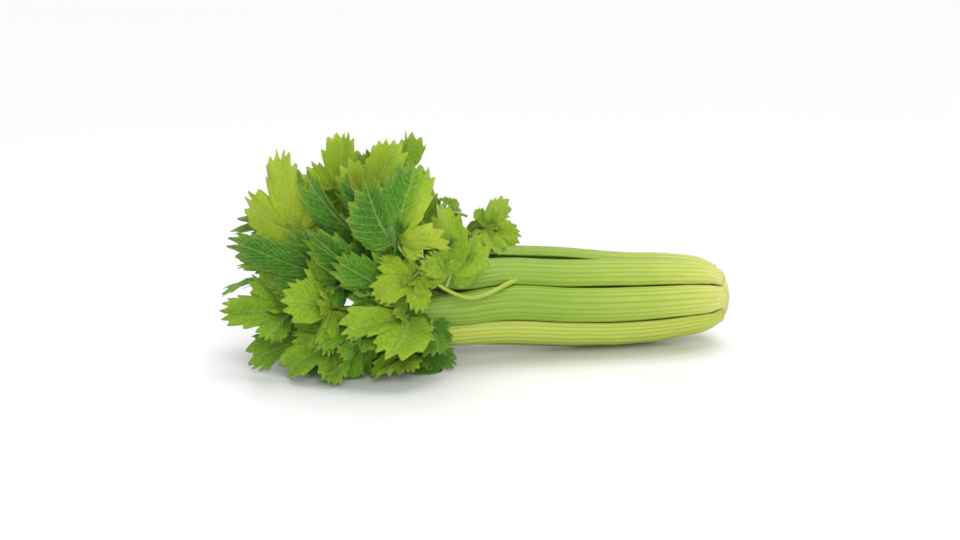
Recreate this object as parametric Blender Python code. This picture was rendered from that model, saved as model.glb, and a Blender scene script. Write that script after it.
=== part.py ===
"""Head of celery lying on its side: a trimmed butt, fourteen stalks nested round it in three
rings, side stems, and the leaflets that the stalks and side stems carry.

Lengths are in metres. The head is laid out in its own coordinates: x = -s, where s runs from the
cut face of the butt (s = 0) towards the leaves; y is across, with the front at -y; z is up from
the table. At the end the whole head is moved so that its box stands centred on the origin.
"""

import math

import bmesh
import bpy
import numpy as np
from mathutils import Vector
from mathutils.bvhtree import BVHTree

# Driving dimensions -------------------------------------------------------------------------
BUNDLE_RADIUS = 0.041       # centre of the bundle to the crown of an outer stalk
BUNDLE_LENGTH = 0.200       # cut face to where the stalks part
BUNDLE_LIFT = 0.008         # rise of the bundle's axis at its leaf end
BROAD_PAST = 0.025          # end of the bundle to where a stalk begins to narrow
OUTER_TURN, INNER_TURN, HEART_TURN = 121.0, 100.0, 60.0   # degrees, place of each ring's first

OUTER_WIDTH, INNER_WIDTH, HEART_WIDTH = 0.0290, 0.0260, 0.0170
OUTER_WALL, INNER_WALL, HEART_WALL = 0.0074, 0.0062, 0.0048
RING_GAP = 0.0025           # between one ring of stalks and the next
SIDE_GAP = 0.0008           # least space between neighbours in a ring; they squeeze each other to it
CURL = 0.34                 # depth of a stalk's section, as a share of its width
STEM_WIDTH = 0.0042         # where a stalk ends as a leaf stem
SIDE_STEM_WIDTH = 0.0038

BUTT_RADIUS = 0.0205
BUTT_LENGTH = 0.034
BUTT_RIM = 0.0015           # rounding of the trimmed edge
BASE_START = 0.004          # cut face to the foot of an outer stalk
RING_STEP = 0.010           # each inner ring is seated this much higher up the butt
FLARE = 0.085               # length over which a stalk swells from its foot to full width
SWELL = ((0.0, 0.0), (0.18, 0.50), (0.42, 0.74), (1.0, 1.0))   # share of the flare, of the swelling
ARCHES = {"g": 0.005}       # how far a stalk bows out of the bundle between butt and leaves

LEAF_WIDTH = 0.0250         # half width of a blade of size 1
LEAF_STEM = 0.0013          # half width of a leaflet's own stem
LEAF_THICKNESS = 0.0012
LEAF_FOLD = 16.0            # degrees that each half of a blade rises from its midrib

SEAT_GAP = 0.0003           # between a piece and what it is seated on
CLEARANCE = 0.0004          # kept between leaflets and everything else

STALK_SIDES = (7, 5)        # points round the outer and the inner face of a section
STALK_STEPS = 15
LEAF_SHAPE = ((0.00, 0.00), (0.10, 0.00), (0.20, 0.02), (0.28, 0.50), (0.40, 1.00), (0.52, 0.78),
              (0.64, 0.80), (0.80, 0.50), (0.93, 0.18), (1.00, 0.02))   # along, half width

LAYOUT_RADIUS = 0.041       # bundle radius that the y and z in the tables below are laid out for

# Where the freed stalks lead: points (s, y, z) in millimetres, with s measured from the end of
# the bundle. The outer ones are named round the bundle from its top front, by way of the table.
OUTER_ROUTES = {
    "a": ((45, -26, 82), (83, -30, 101), (103, -28, 132)),
    "b": ((50, -42, 50), (95, -44, 52), (138, -46, 58)),
    "c": ((45, -31, 19), (90, -38, 21), (134, -46, 26)),
    "d": ((45, 6, 9), (90, 2, 15), (145, -4, 18)),
    "e": ((45, 38, 27), (90, 48, 26), (134, 60, 28)),
    "f": ((45, 43, 64), (85, 50, 74), (122, 60, 94)),
    "g": ((40, 18, 96), (68, 24, 112), (90, 26, 138)),
}
INNER_ROUTES = {
    "h": ((45, -7, 78), (92, -8, 100), (122, -6, 136)),
    "i": ((45, -29, 45), (110, -22, 70), (161, -8, 105)),
    "j": ((45, 3, 22), (110, -12, 32), (172, -22, 46)),
    "k": ((45, 29, 54), (100, 30, 80), (146, 36, 112)),
}
HEART_ROUTES = {
    "l": ((45, 10, 66), (100, 8, 88), (142, 12, 124)),
    "m": ((45, -17, 49), (105, -2, 60), (162, 8, 76)),
    "n": ((45, 11, 36), (105, 18, 46), (166, 24, 58)),
}
# Side stems: what carries each, where along it, and the points it runs through.
SIDE_STEMS = {
    "side_stem_a": ("stalk_a", 0.60, ((40, -55, 65), (65, -60, 80), (90, -60, 105))),
    "side_stem_c": ("stalk_c", 0.80, ((98, -53, 27), (116, -57, 29))),
    "side_stem_f": ("stalk_f", 0.80, ((96, 68, 90), (104, 76, 106))),
    "side_stem_g": ("stalk_g", 0.66, ((26, 30, 104), (36, 32, 116))),
}

# Leaflets: name, what carries it, where along it, its tip (s, y, z) as above, the way its upper
# face looks (s, y, z), and its size. A tip at z = 0 rests on the table.
LEAFLETS = (
    ("a1", "stalk_a", 1.00, (92, -30, 190), (0.2, -1.0, 0.0), 1.10),
    ("a2", "stalk_a", 0.90, (70, -35, 165), (-0.5, -0.8, 0.2), 0.95),
    ("a3", "stalk_a", 0.86, (122, -44, 168), (0.3, -1.0, 0.1), 0.90),
    ("a4", "side_stem_a", 1.00, (75, -65, 170), (0.2, -1.0, 0.1), 1.00),
    ("a5", "side_stem_a", 0.62, (60, -60, 142), (-0.3, -1.0, 0.3), 0.95),
    ("a6", "side_stem_a", 0.84, (110, -70, 70), (0.2, -1.0, 0.4), 0.70),
    ("b1", "stalk_b", 1.00, (186, -58, 66), (0.1, -1.0, 0.5), 0.95),
    ("b2", "stalk_b", 0.84, (144, -76, 52), (0.0, -0.8, 0.7), 1.00),
    ("b3", "stalk_b", 0.88, (130, -64, 108), (0.2, -1.0, 0.2), 0.95),
    ("b4", "stalk_b", 0.95, (166, -66, 32), (0.2, -1.0, 0.4), 0.90),
    ("b5", "stalk_b", 0.78, (102, -70, 28), (0.0, -0.8, 0.6), 0.70),
    ("c1", "stalk_c", 1.00, (182, -56, 12), (0.1, -0.7, 0.8), 0.95),
    ("c2", "side_stem_c", 1.00, (152, -66, 0), (0.1, -0.9, 0.7), 0.95),
    ("c3", "side_stem_c", 0.55, (118, -66, 6), (0.2, -0.8, 0.7), 0.75),
    ("c4", "stalk_c", 0.80, (80, -48, 4), (-0.2, -0.6, 0.8), 0.70),
    ("d1", "stalk_d", 1.00, (204, -26, 12), (0.2, -0.5, 0.9), 0.95),
    ("d2", "stalk_d", 0.88, (166, -40, 0), (0.1, -0.4, 0.9), 0.85),
    ("d3", "stalk_d", 0.84, (152, 38, 0), (0.0, 0.2, 1.0), 0.85),
    ("e1", "stalk_e", 1.00, (188, 70, 12), (0.1, 0.4, 0.9), 0.95),
    ("e2", "stalk_e", 0.88, (146, 92, 0), (0.0, 0.6, 0.8), 0.95),
    ("e3", "stalk_e", 0.80, (98, 84, 10), (-0.2, 0.7, 0.7), 0.80),
    ("f1", "stalk_f", 1.00, (166, 72, 136), (0.2, 0.9, 0.4), 1.00),
    ("f2", "stalk_f", 0.90, (166, 86, 80), (0.2, 0.9, 0.5), 0.95),
    ("f3", "side_stem_f", 1.00, (100, 80, 160), (-0.2, 0.9, 0.2), 0.95),
    ("f4", "side_stem_f", 0.60, (64, 84, 100), (-0.3, 0.8, 0.6), 0.90),
    ("g1", "stalk_g", 1.00, (70, 20, 180), (-0.4, -0.8, 0.2), 1.00),
    ("g2", "stalk_g", 0.88, (122, 44, 162), (0.3, -0.5, 0.6), 0.90),
    ("g3", "side_stem_g", 1.00, (25, 20, 125), (-0.6, -0.7, 0.3), 0.90),
    ("g4", "side_stem_g", 0.60, (-15, 40, 85), (-0.2, -0.4, 0.9), 0.85),
    ("g5", "side_stem_g", 0.30, (-25, 15, 95), (-0.2, -0.7, 0.7), 0.75),
    ("h1", "stalk_h", 1.00, (132, -8, 195), (0.3, -1.0, 0.1), 1.05),
    ("h2", "stalk_h", 0.88, (162, -36, 154), (0.6, -0.9, 0.1), 0.90),
    ("i1", "stalk_i", 1.00, (185, -5, 175), (0.5, -0.9, 0.1), 1.10),
    ("i2", "stalk_i", 0.92, (220, -20, 108), (0.3, -0.9, 0.3), 0.90),
    ("i3", "stalk_i", 0.86, (166, -50, 118), (0.3, -1.0, 0.3), 0.90),
    ("j1", "stalk_j", 1.00, (228, -32, 56), (0.3, -0.8, 0.5), 0.95),
    ("k1", "stalk_k", 1.00, (170, 45, 155), (0.4, 0.8, 0.2), 1.00),
    ("k2", "stalk_k", 0.90, (206, 52, 114), (0.6, 0.5, 0.5), 0.90),
    ("l1", "stalk_l", 1.00, (135, 20, 165), (0.9, 0.2, 0.2), 0.90),
    ("m1", "stalk_m", 1.00, (220, 14, 88), (0.8, -0.4, 0.4), 0.95),
    ("n1", "stalk_n", 1.00, (220, 34, 60), (0.5, 0.3, 0.8), 0.90),
)

# How a leaflet that meets another may turn about its midrib (degrees) and lean (share of length).
TURNS = (0, 18, -18, 36, -36, 54, -54, 75, -75)
LEANS = (0.0, 0.12, -0.12, 0.24, -0.24)

UP = np.array((0.0, 0.0, 1.0))
COLOURS = {
    "butt": ((0.80, 0.78, 0.42, 1.0), 0.55),
    "stalk": ((0.38, 0.62, 0.13, 1.0), 0.35),
    "stem": ((0.50, 0.70, 0.20, 1.0), 0.40),
    "leaf": ((0.14, 0.42, 0.06, 1.0), 0.45),
}


def clear_scene():
    for obj in list(bpy.data.objects):
        bpy.data.objects.remove(obj, do_unlink=True)


def material(kind):
    """The Principled material of one kind of piece, made once."""
    made = bpy.data.materials.get(kind)
    if made is None:
        colour, roughness = COLOURS[kind]
        made = bpy.data.materials.new(kind)
        made.use_nodes = True
        shader = made.node_tree.nodes["Principled BSDF"]
        shader.inputs["Base Color"].default_value = colour
        shader.inputs["Roughness"].default_value = roughness
        shader.inputs["Metallic"].default_value = 0.0
    return made


def unit(vector):
    return vector / np.linalg.norm(vector)


def across(vector, axis):
    """The part of a vector that is square to a unit axis, made a unit vector."""
    return unit(vector - axis * np.dot(vector, axis))


def smooth_step(value):
    value = min(max(value, 0.0), 1.0)
    return value * value * (3.0 - 2.0 * value)


def mix(start, end, share):
    return start + (end - start) * share


def place(point_mm):
    """A layout point (s, y, z) in millimetres as x, y, z in metres."""
    s, y, z = np.array(point_mm) / 1000.0
    spread = BUNDLE_RADIUS / LAYOUT_RADIUS
    return np.array((-BUNDLE_LENGTH - s, y * spread, z * spread))


def smooth_curve(points, steps):
    """Points at even lengths along a smooth curve through the given points."""
    points = np.array(points, float)
    knots = np.concatenate([[0.0], np.cumsum(np.linalg.norm(np.diff(points, axis=0), axis=1))])
    slopes = np.gradient(points, knots, axis=0)
    fine = []
    for start in range(len(points) - 1):
        span = knots[start + 1] - knots[start]
        for t in np.linspace(0.0, 1.0, 24, endpoint=False):
            fine.append((2 * t**3 - 3 * t**2 + 1) * points[start]
                        + (t**3 - 2 * t**2 + t) * span * slopes[start]
                        + (3 * t**2 - 2 * t**3) * points[start + 1]
                        + (t**3 - t**2) * span * slopes[start + 1])
    fine = np.array(fine + [points[-1]])
    lengths = np.concatenate([[0.0], np.cumsum(np.linalg.norm(np.diff(fine, axis=0), axis=1))])
    even = np.linspace(0.0, lengths[-1], steps)
    return np.stack([np.interp(even, lengths, fine[:, axis]) for axis in range(3)], axis=1)


def frames_along(path, normal):
    """(tangent, normal, side) at each point of a path, the normal carried along without twist."""
    tangents = np.gradient(path, axis=0)
    frames = []
    for tangent in tangents:
        tangent = unit(tangent)
        normal = across(normal, tangent)
        frames.append((tangent, normal, np.cross(tangent, normal)))
    return frames


def loft(name, rings, kind, parent, smooth_angle=50.0):
    """A closed solid through rings of equally many points, capped at both ends."""
    mesh = bpy.data.meshes.new(name)
    work = bmesh.new()
    origin = rings[0].mean(axis=0)
    loops = [[work.verts.new(point - origin) for point in ring] for ring in rings]
    count = len(loops[0])
    for first, second in zip(loops, loops[1:]):
        for i in range(count):
            j = (i + 1) % count
            work.faces.new((first[i], first[j], second[j], second[i]))
    work.faces.new(loops[0][::-1])
    work.faces.new(loops[-1])
    bmesh.ops.recalc_face_normals(work, faces=work.faces)
    work.to_mesh(mesh)
    work.free()
    mesh.shade_smooth()
    mesh.set_sharp_from_angle(angle=math.radians(smooth_angle))
    mesh.materials.append(material(kind))
    obj = bpy.data.objects.new(name, mesh)
    bpy.context.scene.collection.objects.link(obj)
    obj.parent = parent
    obj.location = origin
    return obj


def tree_of(rings):
    """A search tree of a loft's surface, for the clearance tests."""
    count = len(rings[0])
    points = [Vector(point) for ring in rings for point in ring]
    faces = []
    for row in range(len(rings) - 1):
        for i in range(count):
            j = (i + 1) % count
            a, b = row * count + i, row * count + j
            faces += [(a, b, b + count), (a, b + count, a + count)]
    last = (len(rings) - 1) * count
    faces += [tuple(range(count)), tuple(range(last, last + count))]
    return BVHTree.FromPolygons(points, faces)


def axis_height(s):
    """Height of the bundle's axis: level near the butt, lifted towards the leaves."""
    return BUNDLE_RADIUS + BUNDLE_LIFT * smooth_step((s / BUNDLE_LENGTH - 0.5) / 0.7)


def butt_profile():
    """(s, radius) down the butt: a trimmed face, a short neck, then a cone inside the stalks."""
    return ((0.0, BUTT_RADIUS - BUTT_RIM), (BUTT_RIM * 0.3, BUTT_RADIUS - 0.3 * BUTT_RIM),
            (BUTT_RIM, BUTT_RADIUS), (BASE_START + 0.45 * RING_STEP, BUTT_RADIUS),
            (BASE_START + RING_STEP, BUTT_RADIUS * 0.83),
            (BASE_START + 2 * RING_STEP, BUTT_RADIUS * 0.56), (BUTT_LENGTH, BUTT_RADIUS * 0.16))


def butt_radius(s):
    places, radii = zip(*butt_profile())
    return float(np.interp(s, places, radii))


def make_butt(parent, sides=28):
    rings = []
    for s, radius in butt_profile():
        turns = np.arange(sides) / sides * 2 * math.pi
        rings.append(np.stack([np.full(sides, -s), radius * np.cos(turns),
                               axis_height(s) + radius * np.sin(turns)], axis=1))
    loft("butt", rings, "butt", parent)
    return rings


def stalk_section(width, depth, wall, edge):
    """Points (across, inwards) of a crescent: a half ellipse outside, a shallower one inside."""
    outer, inner = STALK_SIDES
    points = []
    for turn in np.linspace(-math.pi / 2, math.pi / 2, outer):
        points.append((0.5 * width * math.sin(turn), depth * (1 - math.cos(turn))))
    for turn in np.linspace(math.pi / 2, -math.pi / 2, inner):
        points.append(((0.5 * width - edge) * math.sin(turn),
                       wall + (depth - wall) * (1 - math.cos(turn))))
    return points


def stalk_path(outward, foot_crown, crown, arch, start, route):
    """Points down the middle of a stalk's outer face, and how far along it each one is."""
    levels = [(start + share * FLARE, mix(foot_crown, crown, swell)) for share, swell in SWELL]
    levels += [(mix(start + FLARE, BUNDLE_LENGTH, 0.5), crown + arch),
               (BUNDLE_LENGTH, crown + arch)]
    points = [np.array((-s, 0.0, axis_height(s))) + radius * outward for s, radius in levels]
    points += [place(point) for point in route]
    path = smooth_curve(points, STALK_STEPS * 8)
    lengths = np.concatenate([[0.0], np.cumsum(np.linalg.norm(np.diff(path, axis=0), axis=1))])
    early = FLARE * np.array((0.0, 0.09, 0.2, 0.42))
    chosen = np.concatenate([early, np.linspace(FLARE, lengths[-1], STALK_STEPS - len(early))])
    return np.stack([np.interp(chosen, lengths, path[:, i]) for i in range(3)], axis=1), chosen


def seated_crown(outward, crown, arch, start, wall, route):
    """Crown radius of a stalk's foot whose inner face, as it leans, stands SEAT_GAP off the butt."""
    foot_crown = butt_radius(start) + SEAT_GAP + wall
    for _ in range(12):
        path, _ = stalk_path(outward, foot_crown, crown, arch, start, route)
        _, normal, _ = frames_along(path, outward)[0]
        inner = path[0] - wall * normal
        s = -inner[0]
        cone = (butt_radius(s) - butt_radius(s + 0.001)) / 0.001
        radius = np.dot(inner - np.array((-s, 0.0, axis_height(s))), outward)
        foot_crown += butt_radius(s) + SEAT_GAP * math.hypot(1.0, cone) - radius
    return foot_crown


def stalk_rings(angle, crown, arch, start, width, wall, neighbours, route):
    """Rings of one stalk, from its foot on the butt to its end as a leaf stem, and its path."""
    outward = np.array((0.0, math.cos(angle), math.sin(angle)))
    half_turn = math.pi / neighbours
    foot_wall = 0.8 * wall
    foot_crown = seated_crown(outward, crown, arch, start, foot_wall, route)
    path, chosen = stalk_path(outward, foot_crown, crown, arch, start, route)
    broad = BUNDLE_LENGTH + BROAD_PAST
    shares, swells = zip(*SWELL)
    rings = []
    for along, point, (_, normal, side) in zip(chosen, path, frames_along(path, outward)):
        swell = np.interp(along / FLARE, shares, swells)
        level = mix(foot_crown, crown, swell)
        narrowing = smooth_step((along - broad) / (chosen[-1] - broad))
        here = mix(width * level / crown, STEM_WIDTH, narrowing)
        thick = mix(mix(foot_wall, wall, swell), 0.80 * STEM_WIDTH, narrowing)
        depth = max(here * mix(CURL * min(1.0, 2.0 * swell), 0.85, narrowing), thick * 1.06)
        room = 2 * (level - depth) * math.tan(half_turn) - SIDE_GAP / math.cos(half_turn)
        here = mix(min(here, room), here, narrowing)
        section = stalk_section(here, depth, thick, 0.055 * here)
        rings.append(np.array([point + x * side - d * normal for x, d in section]))
    return rings, path


def make_stalks(parent):
    """All stalks, ring by ring, each seated on the butt. Gives name: (rings, path)."""
    inner_crown = BUNDLE_RADIUS - OUTER_WALL - RING_GAP
    heart_crown = inner_crown - CURL * INNER_WIDTH - RING_GAP
    families = (
        (OUTER_ROUTES, BUNDLE_RADIUS, OUTER_WIDTH, OUTER_WALL, OUTER_TURN),
        (INNER_ROUTES, inner_crown, INNER_WIDTH, INNER_WALL, INNER_TURN),
        (HEART_ROUTES, heart_crown, HEART_WIDTH, HEART_WALL, HEART_TURN),
    )
    made = {}
    for step, (routes, crown, width, wall, turn) in enumerate(families):
        start = BASE_START + step * RING_STEP
        for index, (letter, route) in enumerate(routes.items()):
            angle = math.radians(turn + index * 360.0 / len(routes))
            name = "stalk_" + letter
            arch = ARCHES.get(letter, 0.0)
            made[name] = stalk_rings(angle, crown, arch, start, width, wall, len(routes), route)
            loft(name, made[name][0], "stalk", parent)
    return made


def round_rings(path, radii, sides=6):
    """Rings of a tube along a path, with a radius for each point."""
    rings = []
    turns = np.arange(sides) / sides * 2 * math.pi
    for point, radius, (_, normal, side) in zip(path, radii, frames_along(path, UP)):
        rings.append(np.array([point + radius * (math.cos(turn) * side + math.sin(turn) * normal)
                               for turn in turns]))
    return rings


def seat_on(carrier, along, heading):
    """Where a stem leaves its carrier, and its first direction, square to the carrier's skin."""
    rings, path = carrier
    if along >= 1.0:
        tangent = unit(path[-1] - path[-2])
        return rings[-1].mean(axis=0) + tangent * SEAT_GAP, tangent
    lengths = np.concatenate([[0.0], np.cumsum(np.linalg.norm(np.diff(path, axis=0), axis=1))])
    where = along * lengths[-1]
    row = int(np.searchsorted(lengths, where)) - 1
    share = (where - lengths[row]) / (lengths[row + 1] - lengths[row])
    ring = mix(rings[row], rings[row + 1], share)
    centre = ring.mean(axis=0)
    tangent = unit(path[row + 1] - path[row])
    outward = across(heading - centre, tangent)
    reach = max(np.dot(point - centre, outward) for point in ring)
    return centre + outward * (reach + SEAT_GAP), outward


def make_side_stems(parent, carriers):
    for name, (carrier, along, route) in SIDE_STEMS.items():
        points = [place(point) for point in route]
        foot, outward = seat_on(carriers[carrier], along, points[0])
        path = smooth_curve([foot, foot + 2.0 * SIDE_STEM_WIDTH * outward] + points, 9)
        radii = 0.5 * SIDE_STEM_WIDTH * np.linspace(1.0, 0.7, len(path))
        rings = round_rings(path, radii)
        carriers[name] = (rings, path)
        loft(name, rings, "stem", parent)


def leaflet_rings(foot, outward, tip, face, size, spare=0.0):
    """Rings of a leaflet: its own stem, then a blade folded along an arched midrib."""
    length = np.linalg.norm(tip - foot)
    chord = unit(tip - foot)
    arch = across(face, chord)
    knots = (foot, foot + 0.30 * length * outward, mix(foot, tip, 0.70) + 0.12 * length * arch, tip)
    rings = []
    shape = np.array(LEAF_SHAPE)
    weights = [((1 - t)**3, 3 * t * (1 - t)**2, 3 * t * t * (1 - t), t**3) for t in shape[:, 0]]
    midrib = np.array([sum(w * knot for w, knot in zip(four, knots)) for four in weights])
    fold = math.radians(LEAF_FOLD)
    for point, half, (tangent, _, _) in zip(midrib, shape[:, 1], frames_along(midrib, arch)):
        normal = across(face, tangent)
        side = np.cross(tangent, normal)
        width = max(LEAF_STEM, half * LEAF_WIDTH * size) + spare
        rise = math.sin(fold) * width * min(1.0, half * 4.0)
        thick = 0.5 * mix(2 * LEAF_STEM, LEAF_THICKNESS, min(1.0, half * 4.0)) + spare
        rings.append(np.array([point + width * side + rise * normal, point + thick * normal,
                               point - width * side + rise * normal, point - thick * normal]))
    return rings


def clear_leaflet(foot, outward, tip, face, size, taken):
    """The first way of turning and leaning a leaflet that keeps it clear of what is there."""
    length = np.linalg.norm(tip - foot)
    chord = unit(tip - foot)
    for lean in LEANS:
        for sway in LEANS:
            for turn in TURNS:
                level = across(face, chord)
                side = np.cross(chord, level)
                to = tip + length * (lean * level + sway * side)
                angle = math.radians(turn)
                look = math.cos(angle) * level + math.sin(angle) * side
                rings = leaflet_rings(foot, outward, to, look, size, CLEARANCE)
                tree = tree_of(rings[1:])
                if not any(tree.overlap(other) for other in taken):
                    return leaflet_rings(foot, outward, to, look, size)
    return leaflet_rings(foot, outward, tip, face, size)


def make_leaflets(parent, carriers, taken):
    table = min(ring[:, 2].min() for rings, _ in carriers.values() for ring in rings)
    for label, carrier, along, tip, face, size in LEAFLETS:
        tip = place(tip)
        face = unit(np.array((-face[0], face[1], face[2])))
        foot, outward = seat_on(carriers[carrier], along, tip)
        rests = tip[2] <= 0.0
        for _ in range(6):
            rings = clear_leaflet(foot, outward, tip, face, size, taken)
            low = min(ring[:, 2].min() for ring in rings) - table
            if low >= 0.0 and not (rests and low > 0.00002):
                break
            tip = tip - np.array((0.0, 0.0, low))
        loft("leaflet_" + label, rings, "leaf", parent, smooth_angle=30.0)
        taken.append(tree_of(rings))


def stand_centred(head):
    """Moves the whole head so that its box stands centred on the origin."""
    bpy.context.view_layer.update()
    corners = np.array([obj.matrix_world @ vertex.co for obj in head.children
                        for vertex in obj.data.vertices])
    low, high = corners.min(axis=0), corners.max(axis=0)
    middle = 0.5 * (low + high)
    head.location = (-middle[0], -middle[1], -low[2])


def main():
    clear_scene()
    head = bpy.data.objects.new("head", None)
    bpy.context.scene.collection.objects.link(head)
    taken = [tree_of(make_butt(head))]
    carriers = make_stalks(head)
    make_side_stems(head, carriers)
    taken += [tree_of(rings) for rings, _ in carriers.values()]
    make_leaflets(head, carriers, taken)
    stand_centred(head)


main()
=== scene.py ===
"""Looks of the head of celery: ribbed stalks, a trimmed butt, side stems and lobed, toothed leaves.

Each piece here stands for one CAD node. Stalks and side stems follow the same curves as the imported
part, anchored on its butt; each leaf takes its midrib, size and facing from its own CAD node.
"""
import math

import bpy
import numpy as np
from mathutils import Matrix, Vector


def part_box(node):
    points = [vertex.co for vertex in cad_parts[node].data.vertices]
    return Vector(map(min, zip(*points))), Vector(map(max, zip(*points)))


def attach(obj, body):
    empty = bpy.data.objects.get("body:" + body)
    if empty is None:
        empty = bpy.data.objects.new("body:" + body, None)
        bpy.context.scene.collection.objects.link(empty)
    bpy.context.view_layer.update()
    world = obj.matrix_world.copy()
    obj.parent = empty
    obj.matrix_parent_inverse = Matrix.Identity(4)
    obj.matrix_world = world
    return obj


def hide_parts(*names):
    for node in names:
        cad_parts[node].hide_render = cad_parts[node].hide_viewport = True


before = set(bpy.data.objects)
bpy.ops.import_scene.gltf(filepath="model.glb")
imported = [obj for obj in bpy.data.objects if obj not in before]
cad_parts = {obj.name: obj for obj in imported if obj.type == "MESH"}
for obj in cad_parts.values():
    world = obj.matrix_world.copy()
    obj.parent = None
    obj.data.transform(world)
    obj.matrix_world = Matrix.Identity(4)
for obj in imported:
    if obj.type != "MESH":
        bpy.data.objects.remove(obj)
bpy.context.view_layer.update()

# Sizes shared with the part, in metres ------------------------------------------------------
BUNDLE_RADIUS, BUNDLE_LENGTH, BUNDLE_LIFT, BROAD_PAST = 0.041, 0.200, 0.008, 0.025
OUTER_TURN, INNER_TURN, HEART_TURN = 121.0, 100.0, 60.0
OUTER_WIDTH, INNER_WIDTH, HEART_WIDTH = 0.0290, 0.0260, 0.0170
OUTER_WALL, INNER_WALL, HEART_WALL = 0.0074, 0.0062, 0.0048
RING_GAP, CURL, STEM_WIDTH, SIDE_STEM_WIDTH = 0.0025, 0.34, 0.0042, 0.0038
BUTT_RADIUS, BUTT_LENGTH, BUTT_RIM = 0.0205, 0.034, 0.0015
BASE_START, RING_STEP, FLARE, SEAT_GAP = 0.004, 0.010, 0.085, 0.0003
SWELL = ((0.0, 0.0), (0.18, 0.50), (0.42, 0.74), (1.0, 1.0))
ARCHES = {"g": 0.005}

# Where the freed stalks lead: (s past the bundle, y, z) in millimetres.
OUTER_ROUTES = {
    "a": ((45, -26, 82), (83, -30, 101), (103, -28, 132)),
    "b": ((50, -42, 50), (95, -44, 52), (138, -46, 58)),
    "c": ((45, -31, 19), (90, -38, 21), (134, -46, 26)),
    "d": ((45, 6, 9), (90, 2, 15), (145, -4, 18)),
    "e": ((45, 38, 27), (90, 48, 26), (134, 60, 28)),
    "f": ((45, 43, 64), (85, 50, 74), (122, 60, 94)),
    "g": ((40, 18, 96), (68, 24, 112), (90, 26, 138)),
}
INNER_ROUTES = {
    "h": ((45, -7, 78), (92, -8, 100), (122, -6, 136)),
    "i": ((45, -29, 45), (110, -22, 70), (161, -8, 105)),
    "j": ((45, 3, 22), (110, -12, 32), (172, -22, 46)),
    "k": ((45, 29, 54), (100, 30, 80), (146, 36, 112)),
}
HEART_ROUTES = {
    "l": ((45, 10, 66), (100, 8, 88), (142, 12, 124)),
    "m": ((45, -17, 49), (105, -2, 60), (162, 8, 76)),
    "n": ((45, 11, 36), (105, 18, 46), (166, 24, 58)),
}
SIDE_STEMS = {
    "side_stem_a": ("stalk_a", 0.60, ((40, -55, 65), (65, -60, 80), (90, -60, 105))),
    "side_stem_c": ("stalk_c", 0.80, ((98, -53, 27), (116, -57, 29))),
    "side_stem_f": ("stalk_f", 0.80, ((96, 68, 90), (104, 76, 106))),
    "side_stem_g": ("stalk_g", 0.66, ((26, 30, 104), (36, 32, 116))),
}

STEM_ROOT_DEPTH, STEM_ROOT_BACK = 0.0040, 0.009   # a side stem starts inside its stalk, lower down
FLOOR_CLEAR = 0.0001        # a stalk's lowest ribs are pressed flat this far above the floor
UP = np.array((0.0, 0.0, 1.0))
butt_low, butt_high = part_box("butt")
ANCHOR = np.array((butt_high.x, 0.5 * (butt_low.y + butt_high.y),
                   0.5 * (butt_low.z + butt_high.z) - BUNDLE_RADIUS))


# Small tools ---------------------------------------------------------------------------------
def unit(vector):
    return vector / np.linalg.norm(vector)


def across(vector, axis):
    return unit(vector - axis * np.dot(vector, axis))


def smooth_step(value):
    value = np.clip(value, 0.0, 1.0)
    return value * value * (3.0 - 2.0 * value)


def mix(start, end, share):
    return start + (end - start) * share


def place(point_mm):
    s, y, z = np.array(point_mm) / 1000.0
    return np.array((-BUNDLE_LENGTH - s, y, z))


def smooth_curve(points, steps):
    """Points at even lengths along a smooth curve through the given points."""
    points = np.array(points, float)
    knots = np.concatenate([[0.0], np.cumsum(np.linalg.norm(np.diff(points, axis=0), axis=1))])
    slopes = np.gradient(points, knots, axis=0)
    fine = []
    for start in range(len(points) - 1):
        span = knots[start + 1] - knots[start]
        for t in np.linspace(0.0, 1.0, 24, endpoint=False):
            fine.append((2 * t**3 - 3 * t**2 + 1) * points[start]
                        + (t**3 - 2 * t**2 + t) * span * slopes[start]
                        + (3 * t**2 - 2 * t**3) * points[start + 1]
                        + (t**3 - t**2) * span * slopes[start + 1])
    fine = np.array(fine + [points[-1]])
    lengths = lengths_of(fine)
    even = np.linspace(0.0, lengths[-1], steps)
    return np.stack([np.interp(even, lengths, fine[:, axis]) for axis in range(3)], axis=1)


def lengths_of(path):
    return np.concatenate([[0.0], np.cumsum(np.linalg.norm(np.diff(path, axis=0), axis=1))])


def frames_along(path, normal):
    tangents = np.gradient(path, axis=0)
    frames = []
    for tangent in tangents:
        tangent = unit(tangent)
        normal = across(normal, tangent)
        frames.append((tangent, normal, np.cross(tangent, normal)))
    return frames


def axis_height(s):
    return BUNDLE_RADIUS + BUNDLE_LIFT * smooth_step((s / BUNDLE_LENGTH - 0.5) / 0.7)


def butt_profile():
    return ((0.0, BUTT_RADIUS - BUTT_RIM), (BUTT_RIM * 0.3, BUTT_RADIUS - 0.3 * BUTT_RIM),
            (BUTT_RIM, BUTT_RADIUS), (BASE_START + 0.45 * RING_STEP, BUTT_RADIUS),
            (BASE_START + RING_STEP, BUTT_RADIUS * 0.83),
            (BASE_START + 2 * RING_STEP, BUTT_RADIUS * 0.56), (BUTT_LENGTH, BUTT_RADIUS * 0.16))


def butt_radius(s):
    places, radii = zip(*butt_profile())
    return float(np.interp(s, places, radii))


def waves(seed, count, low, high):
    """A few sine waves with seeded frequencies, phases and falling heights: smooth 1-D noise."""
    draw = np.random.default_rng(seed)
    parts = [(draw.uniform(low, high), draw.uniform(0, 2 * math.pi), 1.0 / (1 + k))
             for k in range(count)]
    total = sum(height for _, _, height in parts)
    return lambda x: sum(h * np.sin(f * x + p) for f, p, h in parts) / total


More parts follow.
